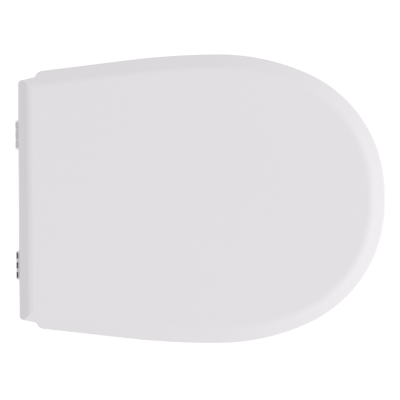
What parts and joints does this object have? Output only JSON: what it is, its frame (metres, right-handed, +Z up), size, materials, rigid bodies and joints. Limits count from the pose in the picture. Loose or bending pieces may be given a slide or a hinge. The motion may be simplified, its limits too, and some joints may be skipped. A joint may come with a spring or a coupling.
{
  "type": "toilet seat",
  "caption": "White D-shaped toilet seat: a bevelled lid over a ring with an oval aperture, on two chromed hinges whose posts are drawn down to the bowl by studs and wing nuts.",
  "frame": {"origin": "midway between the two stud axes, on the bowl's surface under the base gaskets", "axes": "+Z up, +X along the hinge axis to the right of a person facing the seat from its front, front of the seat towards -Y"},
  "size_m": [0.353, 0.4524, 0.0975],
  "materials": {
    "white_coat": "white gloss resin coat over a wooden core",
    "chromed_metal": "polished chrome",
    "nylon": "natural nylon",
    "zinc_steel": "zinc plate",
    "pale_rubber": "soft white rubber",
    "dark_rubber": "black rubber"
  },
  "bodies": {
    "hinge_posts": {"left_hinge_post": "chromed_metal", "right_hinge_post": "chromed_metal", "left_hinge_pin": "chromed_metal", "right_hinge_pin": "chromed_metal", "left_pin_cap": "chromed_metal", "right_pin_cap": "chromed_metal", "hinge_washers": "nylon", "left_base_gasket": "pale_rubber", "right_base_gasket": "pale_rubber", "left_mounting_stud": "zinc_steel", "right_mounting_stud": "zinc_steel", "left_cone_washer": "dark_rubber", "right_cone_washer": "dark_rubber", "left_flat_washer": "zinc_steel", "right_flat_washer": "zinc_steel", "left_wing_nut": "zinc_steel", "right_wing_nut": "zinc_steel"},
    "ring": {"seat_ring": "white_coat", "left_ring_leaf": "chromed_metal", "right_ring_leaf": "chromed_metal", "ring_screws": "zinc_steel", "ring_buffers": "pale_rubber"},
    "lid": {"lid": "white_coat", "left_lid_leaf": "chromed_metal", "right_lid_leaf": "chromed_metal", "lid_screws": "zinc_steel", "lid_buffers": "pale_rubber"}
  },
  "joints": [
    {"name": "ring_hinge", "type": "hinge", "parent": "hinge_posts", "child": "ring", "pos_m": [0, 0.015, 0.028], "axis": [-1, 0, 0], "range_deg": [0, 95]},
    {"name": "lid_hinge", "type": "hinge", "parent": "ring", "child": "lid", "pos_m": [0, 0.015, 0.028], "axis": [-1, 0, 0], "range_deg": [0, 100]}
  ]
}
